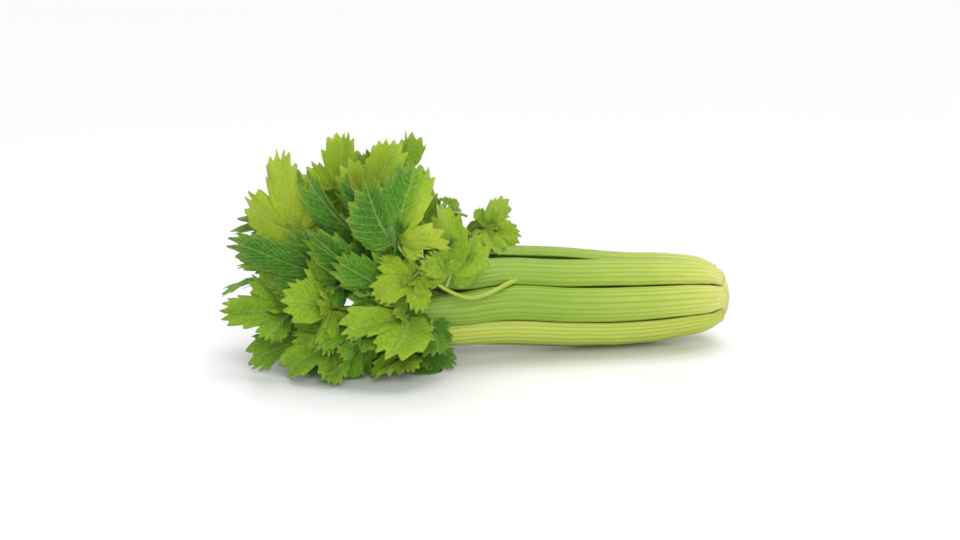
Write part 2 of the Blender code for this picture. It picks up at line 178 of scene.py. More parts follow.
def piece(name, points, quads, tris, material, node, marks):
    """A mesh piece that stands for one CAD node and rides on the root body."""
    mesh = bpy.data.meshes.new(name)
    points = np.asarray(points, np.float32) + ANCHOR.astype(np.float32)
    points[:, 2] = np.maximum(points[:, 2], FLOOR_CLEAR)
    quads = np.asarray(quads, np.int32).reshape(-1, 4)
    tris = np.asarray(tris, np.int32).reshape(-1, 3)
    mesh.vertices.add(len(points))
    mesh.vertices.foreach_set("co", points.ravel())
    corners = np.concatenate([quads.ravel(), tris.ravel()])
    mesh.loops.add(len(corners))
    mesh.loops.foreach_set("vertex_index", corners)
    starts = np.concatenate([np.arange(len(quads)) * 4,
                             len(quads) * 4 + np.arange(len(tris)) * 3])
    mesh.polygons.add(len(starts))
    mesh.polygons.foreach_set("loop_start", starts.astype(np.int32))
    mesh.update(calc_edges=True)
    mesh.shade_smooth()
    for label, values in marks.items():
        values = np.asarray(values, np.float32)
        kind = "FLOAT_VECTOR" if values.ndim == 2 else "FLOAT"
        layer = mesh.attributes.new(label, kind, "POINT")
        layer.data.foreach_set("vector" if values.ndim == 2 else "value", values.ravel())
    mesh.materials.append(material)
    obj = bpy.data.objects.new(name, mesh)
    bpy.context.scene.collection.objects.link(obj)
    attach(obj, "root")
    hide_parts(node)
    return obj


def loft_faces(rows, count):
    """Quads between rings of points, and the triangles of two caps round an added centre each."""
    row, col = np.meshgrid(np.arange(rows - 1), np.arange(count), indexing="ij")
    a = row * count + col
    b = row * count + (col + 1) % count
    quads = np.stack([a, b, b + count, a + count], axis=-1).reshape(-1, 4)
    around = np.arange(count)
    top = (rows - 1) * count
    tris = np.concatenate([
        np.stack([np.full(count, rows * count), (around + 1) % count, around], 1),
        np.stack([np.full(count, rows * count + 1), top + around, top + (around + 1) % count], 1)])
    return quads, tris


# Materials -----------------------------------------------------------------------------------
def turned_out(points, quads, tris):
    """The same faces, turned so that the closed shape they bound has a positive volume."""
    corners = np.concatenate([quads[:, [0, 1, 2]], quads[:, [0, 2, 3]], tris])
    a, b, c = (points[corners[:, k]] - points.mean(axis=0) for k in range(3))
    if (a * np.cross(b, c)).sum() < 0:
        return quads[:, ::-1], tris[:, ::-1]
    return quads, tris


class Nodes:
    """A short way of writing a node tree round one Principled shader."""

    def __init__(self, name):
        self.material = bpy.data.materials.new(name)
        self.material.use_nodes = True
        self.tree = self.material.node_tree
        self.shader = self.tree.nodes["Principled BSDF"]

    def add(self, kind, settings=None, **inputs):
        node = self.tree.nodes.new(kind)
        for key, value in (settings or {}).items():
            setattr(node, key, value)
        for key, value in inputs.items():
            self.feed(node, key.replace("_", " "), value)
        return node

    def feed(self, node, key, value):
        socket = node.inputs[int(key)] if key.isdigit() else node.inputs[key]
        if isinstance(value, bpy.types.NodeSocket):
            self.tree.links.new(value, socket)
        else:
            socket.default_value = value

    def mark(self, label):
        return self.add("ShaderNodeAttribute", {"attribute_name": label})

    def math(self, what, first, second=0.0, third=0.0, clamp=False):
        node = self.add("ShaderNodeMath", {"operation": what, "use_clamp": clamp})
        for index, value in enumerate((first, second, third)):
            self.feed(node, str(index), value)
        return node.outputs[0]

    def ramp(self, value, *stops):
        node = self.add("ShaderNodeValToRGB", Fac=value)
        ramp = node.color_ramp
        while len(ramp.elements) < len(stops):
            ramp.elements.new(1.0)
        for element, (where, colour) in zip(ramp.elements, stops):
            element.position = where
            element.color = (*colour, 1.0) if len(colour) == 3 else colour
        return node.outputs[0]

    def blend(self, share, first, second, how="MIX"):
        node = self.add("ShaderNodeMix", {"data_type": "RGBA", "blend_type": how})
        self.feed(node, "0", share)
        for index, value in (("6", first), ("7", second)):
            if not isinstance(value, bpy.types.NodeSocket):
                value = (*value, 1.0)
            self.feed(node, index, value)
        return node.outputs[2]

    def noise(self, scale, detail=3.0, vector=None, rough=0.55):
        node = self.add("ShaderNodeTexNoise", Scale=scale, Detail=detail, Roughness=rough)
        if vector is not None:
            self.feed(node, "Vector", vector)
        return node.outputs[0]

    def bump(self, height, distance, strength=1.0):
        node = self.add("ShaderNodeBump", Height=height, Distance=distance, Strength=strength)
        self.feed(self.shader, "Normal", node.outputs[0])


def grey(value):
    return (value, value, value)


def stalk_material():
    """Green celery rib: cream at the foot, greener up, fine strings, speckle and a wet sheen.

    The mark "rib" holds the place across (x), metres along (y) and the piece's own tone (z)."""
    n = Nodes("celery_stalk")
    rib = n.add("ShaderNodeSeparateXYZ", Vector=n.mark("rib").outputs["Vector"])
    side, along, tone = rib.outputs
    inner = n.mark("inner").outputs["Fac"]
    wobble = n.noise(14.0, 2.0)
    place_on = n.math("ADD", along, n.math("MULTIPLY", n.math("SUBTRACT", wobble, 0.5), 0.05))
    green = n.ramp(place_on, (0.0, (0.78, 0.74, 0.28)), (0.025, (0.62, 0.64, 0.15)),
                   (0.075, (0.38, 0.47, 0.055)), (0.16, (0.185, 0.335, 0.014)),
                   (0.25, (0.150, 0.300, 0.014)), (0.34, (0.140, 0.290, 0.015)))
    warm = n.blend(tone, green, (0.50, 0.55, 0.08))
    # long pale streaks along the strings, and painted shade darkening the grooves between the ribs
    lines = n.add("ShaderNodeCombineXYZ", X=n.math("MULTIPLY", side, 46.0),
                  Y=n.math("MULTIPLY", along, 16.0), Z=n.math("MULTIPLY", tone, 9.0))
    streak = n.noise(1.0, 4.0, lines.outputs[0], 0.6)
    streaks = n.ramp(streak, (0.30, grey(0.0)), (0.70, grey(1.0)))
    pale = n.blend(n.math("MULTIPLY", streaks, 0.45), warm, (0.42, 0.54, 0.08))
    # painted shade: the grooves between the ribs are darkened towards a dark green
    groove = n.mark("groove").outputs["Fac"]
    groove_shade = n.blend(n.math("MULTIPLY", groove, 0.60), pale, (0.08, 0.24, 0.010))
    inside = n.blend(n.math("MULTIPLY", inner, 0.70), groove_shade, (0.48, 0.60, 0.20))
    spots = n.ramp(n.noise(420.0, 2.0), (0.62, grey(0.0)), (0.74, grey(1.0)))
    speckled = n.blend(n.math("MULTIPLY", spots, 0.18), inside, (0.55, 0.65, 0.22))
    n.feed(n.shader, "Base Color", speckled)
    gloss = n.math("MULTIPLY_ADD", n.noise(60.0, 3.0), 0.22, 0.24)
    n.feed(n.shader, "Roughness", gloss)
    n.feed(n.shader, "Specular IOR Level", 0.36)
    n.feed(n.shader, "Subsurface Weight", 0.12)
    n.feed(n.shader, "Subsurface Radius", (0.7, 1.0, 0.3))
    n.feed(n.shader, "Subsurface Scale", 0.004)
    fine = n.add("ShaderNodeCombineXYZ", X=n.math("MULTIPLY", side, 240.0),
                 Y=n.math("MULTIPLY", along, 40.0), Z=0.0)
    strings = n.noise(1.0, 3.0, fine.outputs[0], 0.6)
    skin = n.math("MULTIPLY_ADD", n.noise(900.0, 2.0), 0.25, strings)
    n.bump(skin, 0.00025, 0.8)
    return n.material


def butt_material():
    """Trimmed root end: cream flesh with rings, browner at the rim and in the core."""
    n = Nodes("celery_butt")
    spot = n.add("ShaderNodeSeparateXYZ", Vector=n.mark("rib").outputs["Vector"])
    radial, along, _ = spot.outputs
    rings = n.math("SINE", n.math("MULTIPLY_ADD", n.noise(60.0, 3.0), 5.0,
                                  n.math("MULTIPLY", radial, 1500.0)))
    ring = n.math("MULTIPLY_ADD", rings, 0.5, 0.5)
    flesh = n.blend(n.math("MULTIPLY", ring, 0.30), (0.78, 0.74, 0.32), (0.64, 0.62, 0.18))
    rim = n.ramp(radial, (0.0125, grey(0.0)), (0.0205, grey(1.0)))
    edged = n.blend(n.math("MULTIPLY", rim, 0.25), flesh, (0.62, 0.52, 0.16))
    blotch = n.ramp(n.noise(110.0, 4.0), (0.50, grey(0.0)), (0.68, grey(1.0)))
    aged = n.blend(n.math("MULTIPLY", blotch, 0.32), edged, (0.50, 0.36, 0.12))
    n.feed(n.shader, "Base Color", aged)
    n.feed(n.shader, "Roughness", n.math("MULTIPLY_ADD", n.noise(140.0), 0.25, 0.42))
    n.bump(n.math("ADD", n.math("MULTIPLY", ring, 0.5), n.noise(500.0, 4.0)), 0.0006, 0.7)
    return n.material


def leaf_material():
    """Celery leaf: veined, quilted, glossier above and paler beneath.

    The mark "leaf" holds the place along (x) and off (y) the nearest main vein, and the tone (z), which mixes
    the leaf's own green with painted light and shade;
    "rim" runs from the base of the blade (0) to its edge (1)."""
    n = Nodes("celery_leaf")
    leaf = n.add("ShaderNodeSeparateXYZ", Vector=n.mark("leaf").outputs["Vector"])
    along, off, tone = leaf.outputs
    under, stem, rim = (n.mark(label).outputs["Fac"] for label in ("under", "stem", "rim"))
    wide = n.math("ABSOLUTE", off)
    main = n.ramp(n.math("DIVIDE", wide, n.math("MULTIPLY_ADD", rim, -0.018, 0.030)),
                  (0.25, grey(1.0)), (1.0, grey(0.0)))
    slant = n.math("MULTIPLY", n.math("MULTIPLY_ADD", wide, -1.25, along), 11.0)
    comb = n.math("ABSOLUTE", n.math("SUBTRACT", n.math("FRACT", slant), 0.5))
    twig = n.ramp(comb, (0.035, grey(1.0)), (0.11, grey(0.0)))
    vein = n.math("MAXIMUM", main, n.math("MULTIPLY", twig, 0.55))
    quilt = n.math("SINE", n.math("MULTIPLY", comb, math.pi))
    # painted light and shade: each leaf's tone, lighter for leaves seen lit and darker for leaves seen in
    # shadow, plus random blotches, picks the blade colour
    blotch = n.noise(30.0, 4.0, None, 0.6)
    shade = n.math("ADD", tone, n.math("MULTIPLY", n.math("SUBTRACT", blotch, 0.5), 0.75), clamp=True)
    blade = n.ramp(shade, (0.0, (0.006, 0.055, 0.008)), (0.25, (0.034, 0.180, 0.012)),
                   (0.50, (0.150, 0.385, 0.015)), (0.75, (0.380, 0.590, 0.022)),
                   (1.0, (0.580, 0.700, 0.045)))
    mottle = n.ramp(n.noise(170.0, 4.0), (0.35, grey(0.0)), (0.65, grey(1.0)))
    mottled = n.blend(n.math("MULTIPLY", mottle, 0.25), blade, (0.02, 0.11, 0.008))
    edge = n.ramp(rim, (0.82, grey(0.0)), (1.0, grey(1.0)))
    edged = n.blend(n.math("MULTIPLY", edge, 0.25), mottled, (0.50, 0.60, 0.05))
    veined = n.blend(n.math("MULTIPLY", vein, 0.42), edged, (0.52, 0.66, 0.19))
    beneath = n.blend(n.math("MULTIPLY", under, 0.45), veined, (0.37, 0.55, 0.16))
    stemmed = n.blend(stem, beneath, (0.44, 0.60, 0.13))
    n.feed(n.shader, "Base Color", stemmed)
    n.feed(n.shader, "Roughness", n.math("MULTIPLY_ADD", under, 0.20,
                                         n.math("MULTIPLY_ADD", blotch, 0.25, 0.27)))
    n.feed(n.shader, "Specular IOR Level", 0.32)
    net = n.add("ShaderNodeTexVoronoi", {"feature": "DISTANCE_TO_EDGE"}, Scale=330.0)
    cells = n.ramp(net.outputs["Distance"], (0.0, grey(0.0)), (0.22, grey(1.0)))
    height = n.math("ADD", n.math("MULTIPLY", cells, 0.22), n.math("MULTIPLY", quilt, 0.55))
    height = n.math("SUBTRACT", height, n.math("MULTIPLY", main, 0.8))
    n.bump(height, 0.0010, 0.8)
    return n.material


def floor_material():
    n = Nodes("studio_floor")
    tint = n.blend(n.noise(3.0, 2.0), (0.86, 0.86, 0.865), (0.88, 0.88, 0.88))
    n.feed(n.shader, "Base Color", tint)
    n.feed(n.shader, "Roughness", 0.28)
    n.feed(n.shader, "Specular IOR Level", 0.25)
    return n.material


STALK, BUTT, LEAF = stalk_material(), butt_material(), leaf_material()


# Stalks --------------------------------------------------------------------------------------
def stalk_path(outward, foot_crown, crown, arch, start, route, steps):
    levels = [(start + share * FLARE, mix(foot_crown, crown, swell)) for share, swell in SWELL]
    levels += [(mix(start + FLARE, BUNDLE_LENGTH, 0.5), crown + arch),
               (BUNDLE_LENGTH, crown + arch)]
    points = [np.array((-s, 0.0, axis_height(s))) + radius * outward for s, radius in levels]
    points += [place(point) for point in route]
    path = smooth_curve(points, steps)
    return path, lengths_of(path)


def seated_crown(outward, crown, arch, start, wall, route):
    """Crown radius of a foot whose inner face stands a hair off the butt."""
    foot_crown = butt_radius(start) + SEAT_GAP + wall
    for _ in range(8):
        path, along = stalk_path(outward, foot_crown, crown, arch, start, route, 120)
        early = np.array((0.0, 0.09 * FLARE))
        near = np.stack([np.interp(early, along, path[:, i]) for i in range(3)], axis=1)
        normal = across(outward, unit(near[1] - near[0]))
        inner = near[0] - wall * normal
        s = -inner[0]
        cone = (butt_radius(s) - butt_radius(s + 0.001)) / 0.001
        radius = np.dot(inner - np.array((-s, 0.0, axis_height(s))), outward)
        foot_crown += butt_radius(s) + SEAT_GAP * math.hypot(1.0, cone) - radius
    return foot_crown


# How far each stalk has turned from green towards yellow.
STALK_TONES = {"a": 0.10, "b": 0.08, "c": 1.00, "d": 0.40, "e": 0.20, "f": 0.12, "g": 0.05,
               "h": 0.30, "i": 0.45, "j": 0.50, "k": 0.35, "l": 0.60, "m": 0.70, "n": 0.60}
RIB_STEPS = 8      # points across one rib
INNER_STEPS = 18   # points across the hollow inner face
STATIONS = 170     # sections down a stalk
STEM_SIDES, STEM_STATIONS = 20, 60     # points round a side stem and sections down it


def stalk_piece(letter, angle, crown, start, width, wall, route, ribs, seed):
    outward = np.array((0.0, math.cos(angle), math.sin(angle)))
    arch = ARCHES.get(letter, 0.0)
    foot_wall = 0.8 * wall
    foot_crown = seated_crown(outward, crown, arch, start, foot_wall, route)
    path, along = stalk_path(outward, foot_crown, crown, arch, start, route, STATIONS)
    broad = BUNDLE_LENGTH + BROAD_PAST
    shares, swells = zip(*SWELL)
    draw = np.random.default_rng(seed)
    wander, girth, lump = waves(seed, 4, 20, 70), waves(seed + 1, 4, 25, 80), waves(seed + 2, 5, 60, 190)
    outer_count = ribs * RIB_STEPS + 1
    rib_place = np.linspace(0.0, ribs, outer_count)
    rib_height = 0.75 + 0.5 * draw.random(ribs + 1)
    turns = np.linspace(-math.pi / 2, math.pi / 2, outer_count)
    inner_turns = np.linspace(math.pi / 2, -math.pi / 2, INNER_STEPS)
    rows, marks, grooves, insides = [], [], [], []
    tone = STALK_TONES[letter]
    for here_along, point, (_, normal, side) in zip(along, path, frames_along(path, outward)):
        swell = np.interp(here_along / FLARE, shares, swells)
        level = mix(foot_crown, crown, swell)
        narrowing = float(smooth_step((here_along - broad) / (along[-1] - broad)))
        here = mix(width * level / crown, STEM_WIDTH, narrowing)
        thick = mix(mix(foot_wall, wall, swell), 0.80 * STEM_WIDTH, narrowing)
        depth = max(here * mix(CURL * min(1.0, 2.0 * swell), 0.85, narrowing), thick * 1.06)
        here *= 1.0 + 0.018 * girth(here_along)
        shift = 0.0005 * (1 - narrowing) * min(1.0, here_along / 0.03) * wander(here_along)
        # outer face: rounded ribs between narrow grooves, fading to a plain stem
        phase = rib_place + 0.10 * np.sin(rib_place * 1.7 + 9.0 * here_along)
        ridge = np.abs(np.sin(math.pi * phase)) ** 0.75
        tall = rib_height[np.clip(phase.astype(int), 0, ribs)]
        strength = min(1.0, 0.25 + here_along / 0.05)
        rise = 0.00055 * (1 - 0.55 * narrowing) * strength * (ridge * tall - 0.72)
        rise += 0.00022 * lump(here_along + 0.3 * rib_place) * (1 - narrowing)
        ex, ed = 0.5 * here * np.sin(turns), depth * (1 - np.cos(turns))
        nx, nd = depth * np.sin(turns), -0.5 * here * np.cos(turns)
        scale = np.hypot(nx, nd) + 1e-9
        edge_soft = np.cos(turns) ** 0.35
        ox = ex + rise * edge_soft * nx / scale + shift
        od = ed + rise * edge_soft * nd / scale
        lip = 0.055 * here
        ix = (0.5 * here - lip) * np.sin(inner_turns) + shift
        idp = thick + (depth - thick) * (1 - np.cos(inner_turns))
        idp = idp - 0.0004 * (1 - narrowing) * np.cos(inner_turns * 2) * (1 - narrowing)
        sx, sd = np.concatenate([ox, ix]), np.concatenate([od, idp])
        rows.append(point + sx[:, None] * side - sd[:, None] * normal)
        marks.append(np.stack([np.concatenate([rib_place / ribs, np.linspace(1, 0, INNER_STEPS)]) * ribs / 8,
                               np.full(len(sx), here_along + start), np.full(len(sx), tone)], axis=1))
        # groove mask: where the stalk material paints shade into the grooves between the ribs
        grooves.append(np.concatenate([(1 - ridge) ** 1.6 * strength, np.zeros(INNER_STEPS)]))
        insides.append(np.concatenate([np.zeros(outer_count), np.ones(INNER_STEPS)]))
    rows = np.array(rows)
    count = rows.shape[1]
    points = np.concatenate([rows.reshape(-1, 3), rows[0].mean(0)[None], rows[-1].mean(0)[None]])
    quads, tris = loft_faces(len(rows), count)
    flat = np.concatenate(marks)
    flat = np.concatenate([flat, marks[0].mean(0)[None], marks[-1].mean(0)[None]])
    node = "stalk_" + letter
    quads, tris = turned_out(points, quads, tris)
    piece("celery_" + node, points, quads, tris, STALK, node, {
        "rib": flat, "groove": np.concatenate([np.concatenate(grooves), [0, 0]]),
        "inner": np.concatenate([np.concatenate(insides), [1, 1]])})
    return path, rows


def make_stalks():
    inner_crown = BUNDLE_RADIUS - OUTER_WALL - RING_GAP
    heart_crown = inner_crown - CURL * INNER_WIDTH - RING_GAP
    families = (
        (OUTER_ROUTES, BUNDLE_RADIUS, OUTER_WIDTH, OUTER_WALL, OUTER_TURN, 9),
        (INNER_ROUTES, inner_crown, INNER_WIDTH, INNER_WALL, INNER_TURN, 8),
        (HEART_ROUTES, heart_crown, HEART_WIDTH, HEART_WALL, HEART_TURN, 6),
    )
    carriers = {}
    for step, (routes, crown, width, wall, turn, ribs) in enumerate(families):
        start = BASE_START + step * RING_STEP
        for index, (letter, route) in enumerate(routes.items()):
            angle = math.radians(turn + index * 360.0 / len(routes))
            carriers["stalk_" + letter] = stalk_piece(
                letter, angle, crown, start, width, wall, route, ribs, 100 * step + index)
    return carriers


def make_side_stems(carriers):
    """Side stems, round with shallow ridges, from their foot in the CAD node."""
    for name, (carrier, _, route) in SIDE_STEMS.items():
        stem = node_points(name)
        path, rings = carriers[carrier]
        points = [place(point) for point in route]
        end = points[-1]
        far = stem[np.argsort(-np.linalg.norm(stem - end, axis=1))[:6]]
        foot = far.mean(axis=0)
        flesh = rings[np.argmin(np.linalg.norm(path - foot, axis=1))].mean(axis=0)
        root = foot + STEM_ROOT_DEPTH * unit(flesh - foot) + STEM_ROOT_BACK * unit(path[0] - path[1])
        curve = smooth_curve([root] + points, STEM_STATIONS)
        ring_turns = np.arange(STEM_SIDES) / STEM_SIDES * 2 * math.pi
        rows, marks = [], []
        for k, (point, (_, normal, side)) in enumerate(zip(curve, frames_along(curve, UP))):
            along = k / (len(curve) - 1)
            radius = 0.5 * SIDE_STEM_WIDTH * mix(1.0, 0.7, along) * (1 + 0.35 * math.exp(-along * 14))
            ridged = radius * (1 + 0.07 * np.cos(5 * ring_turns))
            rows.append(point + ridged[:, None] * (np.cos(ring_turns)[:, None] * side
                                                   + np.sin(ring_turns)[:, None] * normal))
            marks.append(np.stack([ring_turns / 6.3 * 0.3, np.full(STEM_SIDES, 0.16 + 0.05 * along),
                                   np.full(STEM_SIDES, 0.45)], axis=1))
        rows = np.array(rows)
        points = np.concatenate([rows.reshape(-1, 3), rows[0].mean(0)[None], rows[-1].mean(0)[None]])
        quads, tris = loft_faces(len(rows), STEM_SIDES)
        flat = np.concatenate(marks + [marks[0][:1], marks[-1][:1]])
        quads, tris = turned_out(points, quads, tris)
        piece("celery_" + name, points, quads, tris, STALK, name, {
            "rib": flat, "groove": np.zeros(len(points)), "inner": np.zeros(len(points))})


# Butt ----------------------------------------------------------------------------------------
def make_butt():
    """The trimmed root end: a disc with the sawn crescents of the stalks standing in rings."""
    sides, face_rings = 96, 30
    turns = np.arange(sides) / sides * 2 * math.pi
    rough = waves(900, 5, 3, 11)
    rows, radial, along = [], [], []
    for share in np.linspace(0.04, 1.0, face_rings):
        radius = share * (BUTT_RADIUS - BUTT_RIM)
        arcs = np.cos(math.pi * (radius / 0.0042 + 0.35 * np.sin(3 * turns + 40 * radius)))
        relief = 0.00045 * np.sign(arcs) * np.abs(arcs) ** 0.6 * (share < 0.97)
        relief += 0.0003 * np.sin(5 * turns + 300 * radius) * share
        rows.append(np.stack([relief - 0.0008 * (1 - share), radius * np.cos(turns),
                              axis_height(0.0) + radius * np.sin(turns)], axis=1))
        radial.append(np.full(sides, radius))
        along.append(np.zeros(sides))
    for s, radius in butt_profile()[1:]:
        radius = radius * (1 + 0.012 * np.sin(7 * turns + 2) * (s < 0.01))
        rows.append(np.stack([np.full(sides, -s), radius * np.cos(turns),
                              axis_height(s) + radius * np.sin(turns)], axis=1))
        radial.append(np.full(sides, BUTT_RADIUS))
        along.append(np.full(sides, s))
    rows = np.array(rows)
    points = np.concatenate([rows.reshape(-1, 3), rows[0].mean(0)[None], rows[-1].mean(0)[None]])
    quads, tris = loft_faces(len(rows), sides)
    marks = np.stack([np.concatenate(radial + [[0.0, BUTT_RADIUS]]),
                      np.concatenate(along + [[0.0, BUTT_LENGTH]]), np.zeros(len(points))], axis=1)
    quads, tris = turned_out(points, quads, tris)
    piece("celery_butt", points, quads, tris, BUTT, "butt", {"rib": marks})


# Leaves --------------------------------------------------------------------------------------
def node_points(name):
    """A CAD node's distinct corners, in the head's own coordinates."""
    flat = np.array([v.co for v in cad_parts[name].data.vertices], float) - ANCHOR
    _, keep = np.unique(np.round(flat * 1e5).astype(np.int64), axis=0, return_index=True)
    return flat[np.sort(keep)]


def leaf_of(name):
    """Bezier knots of a CAD leaflet's midrib, the way its face looks, and its half width."""
    corners = node_points(name)
    centre = corners.mean(axis=0)
    _, _, axes = np.linalg.svd(corners - centre)
    reach = (corners - centre) @ axes[0]
    ends = []
    for sign in (1, -1):
        order = np.argsort(-sign * reach)[:12]
        ends.append((np.linalg.norm(corners[order] - corners[order].mean(axis=0), axis=1).max(), sign))
    sign = min(ends)[1]
    start = corners[np.argmax(sign * reach)]
    order = np.argsort(np.linalg.norm(corners - start, axis=1))
    rings = [corners[order[k:k + 4]].mean(axis=0) for k in (0, 4, 8)]
    tip = corners[np.argsort(-np.linalg.norm(corners - rings[0], axis=1))[:4]].mean(axis=0)
    weights = np.array([[3 * t * (1 - t)**2, 3 * t * t * (1 - t)] for t in (0.10, 0.20)])
    rest = np.array([ring - (1 - t)**3 * rings[0] - t**3 * tip
                     for ring, t in zip(rings[1:], (0.10, 0.20))])
    near, far = np.linalg.solve(weights, rest)
    knots = np.array([rings[0], near, far, tip])
    chord = unit(tip - rings[0])
    flat = corners - np.outer((corners - rings[0]) @ chord, chord)
    gaps = np.linalg.norm(flat[:, None] - flat[None], axis=2)
    gaps[np.abs(((corners[:, None] - corners[None]) @ chord)) > 0.012] = 0.0
    first, second = np.unravel_index(np.argmax(gaps), gaps.shape)
    middle = 0.5 * (corners[first] + corners[second])
    spine = bezier(knots, np.array([0.40]))[0]
    tangent = unit(bezier(knots, np.array([0.41]))[0] - bezier(knots, np.array([0.39]))[0])
    face = across(middle - spine, tangent)
    side = unit(corners[first] - corners[second])
    face = across(face - side * np.dot(face, side), tangent)
    return knots, face, 0.5 * np.linalg.norm(corners[first] - corners[second])


def rest_on_floor(points, clear):
    """The same points, those near or under the floor pressed softly flat just above it."""
    floor = clear - ANCHOR[2]
    height = points[..., 2] - floor
    pressed = PRESS_HEIGHT * np.exp((np.minimum(height, PRESS_HEIGHT) - PRESS_HEIGHT) / PRESS_HEIGHT)
    rested = points.copy()
    rested[..., 2] = floor + np.where(height < PRESS_HEIGHT, pressed, height)
    return rested


def bezier(knots, t):
    t = t[:, None]
    return ((1 - t)**3 * knots[0] + 3 * t * (1 - t)**2 * knots[1]
            + 3 * t * t * (1 - t) * knots[2] + t**3 * knots[3])


LOBES = ((0.0, 1.00, 2.30), (56.0, 0.80, 2.15), (-56.0, 0.80, 2.15), (97.0, 0.46, 2.3),
         (-97.0, 0.46, 2.3))     # degrees off the midrib, length, narrowness
FAN = 104.0                      # degrees that a blade spreads to either side of its midrib
RAYS, DEPTH = 113, 13            # points round and out from the base of a blade
TEETH = 25
BLADE_ROOT = 0.035               # where a blade begins, as a share of its reach
HALF_BLADE = 0.00016             # half the thickness of a blade
PRESS_HEIGHT = 0.006             # a leaf that hangs lower than this begins to flatten on the floor


def frames_facing(path, face):
    """(tangent, normal, side) down a path, the normal always turned to the same face."""
    frames = []
    for tangent in np.gradient(path, axis=0):
        tangent = unit(tangent)
        normal = across(face, tangent)
        frames.append((tangent, normal, np.cross(tangent, normal)))
    return frames


def blade(curve, face, half, seed, tone, split=0.0, fold=0.30, ruffle=1.0, droop=0.10, rays=RAYS,
          depth=DEPTH):
    """A thin lobed and toothed blade over a midrib curve: points, quads and marks.

    Rays fan out from the blade's base; each lobe is creased along its own vein."""
    draw = np.random.default_rng(seed)
    theta = np.linspace(-FAN, FAN, rays)
    outline = np.zeros(rays)
    lobe_of = np.zeros(rays, int)
    angles = []
    for k, (angle, length, narrow) in enumerate(LOBES):
        angle += draw.normal(0, 3.5)
        angles.append(angle)
        off = np.clip(np.radians((theta - angle) * narrow), -math.pi / 2, math.pi / 2)
        reach = length * (1 + draw.normal(0, 0.07)) * np.cos(off) ** 0.52
        lobe_of = np.where(reach > outline, k, lobe_of)
        outline = np.maximum(outline, reach)
    pitch = (theta + FAN) / (2 * FAN) * TEETH + draw.random() + 0.35 * np.sin(np.radians(theta) * 5 + seed)
    saw = 1 - 2 * np.abs((pitch % 1.0) - 0.5) * (1 + 0.2 * np.sin(pitch * 2.1))
    outline = outline * (0.93 + 0.17 * saw)
    outline = outline * np.interp(np.abs(theta), (FAN - 14, FAN), (1.0, 0.35))
    share = np.linspace(0.0, 1.0, depth) ** 0.9
    share[0] = BLADE_ROOT
    radius = outline[:, None] * share[None]
    turn = np.radians(theta)[:, None]
    ahead, aside = radius * np.cos(turn), radius * np.sin(turn)
    own = np.radians(np.array(angles))[lobe_of][:, None]
    along_vein = radius * np.cos(turn - own)
    off_vein = radius * np.sin(turn - own)
    # where each point falls on the midrib
    t = np.linspace(0.0, 1.0, 48)
    spine = curve(t)
    frames = frames_facing(spine, face)
    length = lengths_of(spine)[-1]
    place_t = np.clip(ahead, 0.0, 1.0)
    here = np.stack([np.interp(place_t, t, spine[:, k]) for k in range(3)], axis=-1)
    tangent, normal, side = (np.stack([np.interp(place_t, t, np.array([f[j][k] for f in frames]))
                                       for k in range(3)], axis=-1) for j in range(3))
    behind = np.minimum(ahead, 0.0) * length + np.maximum(ahead - 1.0, 0.0) * length
    width = half / 0.66
    bend, bend2 = waves(seed + 5, 3, 4.5, 9.0), waves(seed + 6, 3, 9.0, 17.0)
    swirl = draw.uniform(-0.25, 0.25)
    lift = fold * width * np.abs(aside) * (1 + swirl * np.sign(aside))
    lift += 0.42 * width * np.abs(off_vein) * np.clip(1.4 - np.abs(off_vein) * 3, 0.2, 1)
    lift += ruffle * 0.15 * width * share[None] ** 1.8 * outline[:, None] * bend(turn)
    lift += ruffle * 0.075 * width * share[None] ** 2.5 * bend2(turn + 0.4 * share[None])
    lift -= droop * length * np.maximum(ahead, 0) ** 2.4 + 0.30 * width * aside ** 2
    lump = sum(np.sin(draw.uniform(9, 22) * ahead + draw.uniform(9, 22) * aside + draw.uniform(0, 6))
               for _ in range(5))
    lift += 0.00028 * lump * np.minimum(1.0, share[None] * 3)
    top = (here + behind[..., None] * tangent + (width * aside)[..., None] * side
           + lift[..., None] * normal)
    top = rest_on_floor(top, 0.0003)
    facing = np.cross(np.gradient(top, axis=0), np.gradient(top, axis=1))
    facing /= np.maximum(np.linalg.norm(facing, axis=2, keepdims=True), 1e-12)
    facing *= np.sign((facing * normal).sum()) or 1.0
    skin = np.concatenate([(top + HALF_BLADE * facing).reshape(-1, 3),
                           (top - HALF_BLADE * facing).reshape(-1, 3)])
    count = rays * depth
    index = np.arange(count).reshape(rays, depth)
    upper = np.stack([index[:-1, :-1], index[1:, :-1], index[1:, 1:], index[:-1, 1:]], -1).reshape(-1, 4)
    rim = np.concatenate([index[:, 0], index[-1, 1:], index[-2::-1, -1], index[0, -2:0:-1]])
    after = np.roll(rim, -1)
    wall = np.stack([after, rim, rim + count, after + count], axis=1)
    quads = np.concatenate([upper, upper[:, ::-1] + count, wall])
    quads, _ = turned_out(skin, quads, np.zeros((0, 3), int))
    # painted light and shade: split lightens one half of the blade and darkens the other, as if lit from one
    # side
    shade = np.clip(tone + split * np.tanh(aside * 6), 0.0, 1.0)
    leaf = np.stack([along_vein, off_vein, shade], axis=-1).reshape(-1, 3)
    rim_share = np.broadcast_to(share[None], (rays, depth)).ravel()
    return (skin, quads, np.concatenate([leaf, leaf]), np.concatenate([rim_share, rim_share]),
            np.concatenate([np.zeros(count), np.ones(count)]))


def tube(path, radii, count=8):
    turns = np.arange(count) / count * 2 * math.pi
    rows = np.array([point + radius * (np.cos(turns)[:, None] * side + np.sin(turns)[:, None] * normal)
                     for point, radius, (_, normal, side) in zip(path, radii, frames_along(path, UP + 0.01))])
    quads, tris = loft_faces(len(path), count)
    points = np.concatenate([rows.reshape(-1, 3), rows[0].mean(0)[None], rows[-1].mean(0)[None]])
    return points, quads, tris


